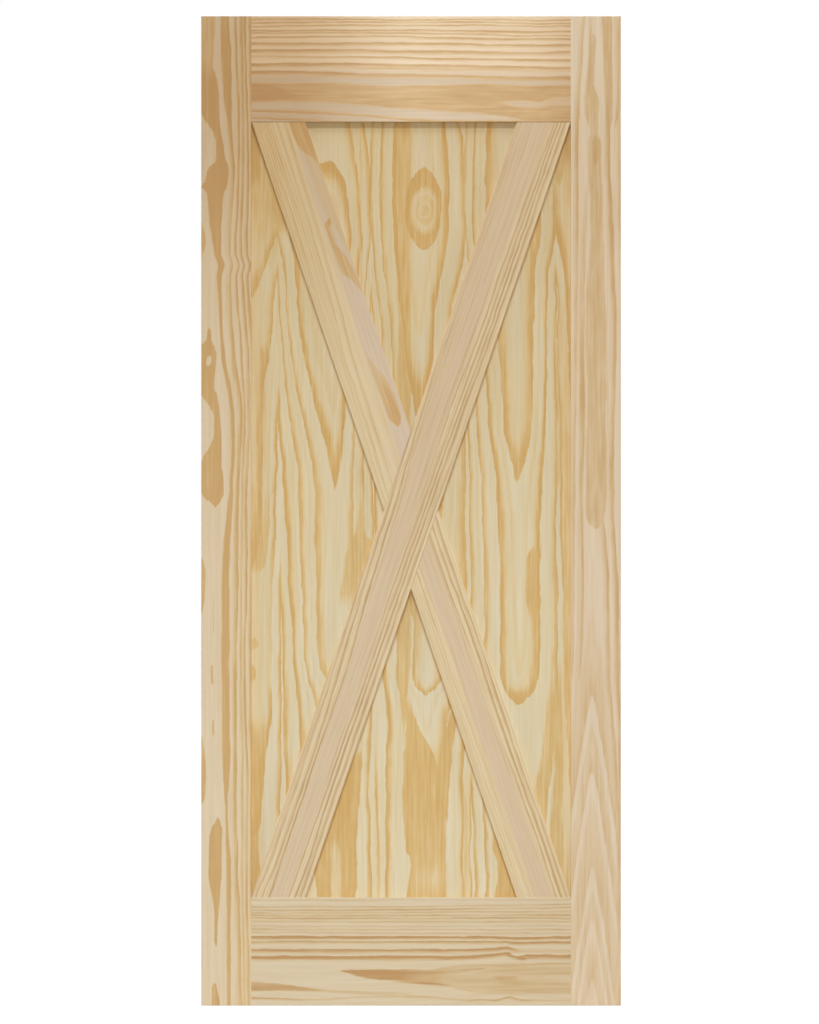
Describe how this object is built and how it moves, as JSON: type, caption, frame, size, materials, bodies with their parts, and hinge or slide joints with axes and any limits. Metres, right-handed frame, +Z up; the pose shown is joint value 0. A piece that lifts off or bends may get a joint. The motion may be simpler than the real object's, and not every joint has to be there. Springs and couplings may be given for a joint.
{
  "type": "sliding barn door",
  "caption": "Unfinished pine barn door slab: stile and rail frame round a flat recessed panel, with a diagonal X brace on its front, to hang from a sliding track.",
  "frame": {"origin": "middle of the slab's bottom edge, halfway through its thickness", "axes": "+X to the right seen from the front, +Y from the braced front to the back, +Z up"},
  "size_m": [0.905, 0.035, 2.134],
  "materials": {
    "frame_pine": "planed and sanded, unfinished",
    "panel_pine": "sanded veneer, unfinished",
    "brace_pine": "planed and sanded, unfinished",
    "dowel_wood": "turned, fluted"
  },
  "bodies": {
    "root": {"left_stile": "frame_pine", "right_stile": "frame_pine", "top_rail": "frame_pine", "bottom_rail": "frame_pine", "panel": "panel_pine", "long_brace": "brace_pine", "upper_short_brace": "brace_pine", "lower_short_brace": "brace_pine", "top_left_dowels": "dowel_wood", "top_right_dowels": "dowel_wood", "bottom_left_dowels": "dowel_wood", "bottom_right_dowels": "dowel_wood"}
  },
  "joints": []
}
